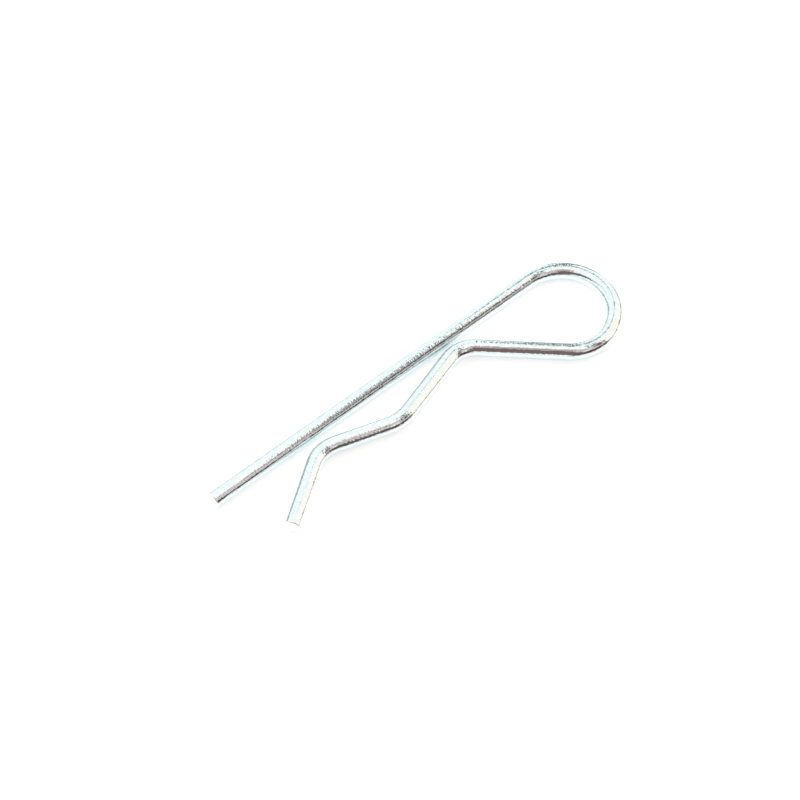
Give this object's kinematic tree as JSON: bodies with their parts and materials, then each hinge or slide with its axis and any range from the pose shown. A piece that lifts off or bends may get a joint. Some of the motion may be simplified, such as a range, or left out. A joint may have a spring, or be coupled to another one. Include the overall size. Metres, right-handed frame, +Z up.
{
  "type": "hitch r clip pin",
  "caption": "Spring wire hitch clip: a straight leg for a shaft's cross hole, a kinked leg that snaps round the shaft, and a loop to pull it by.",
  "frame": {"origin": "middle of the clip's footprint, on the surface that it lies on", "axes": "+X along the straight leg, from its cut end to the loop; the bent leg on the -Y side; +Z up, across the flat clip"},
  "size_m": [0.0804, 0.0208, 0.003],
  "materials": {
    "clip": "bright zinc plate over drawn spring wire"
  },
  "bodies": {
    "root": {"clip": "clip"}
  },
  "joints": []
}
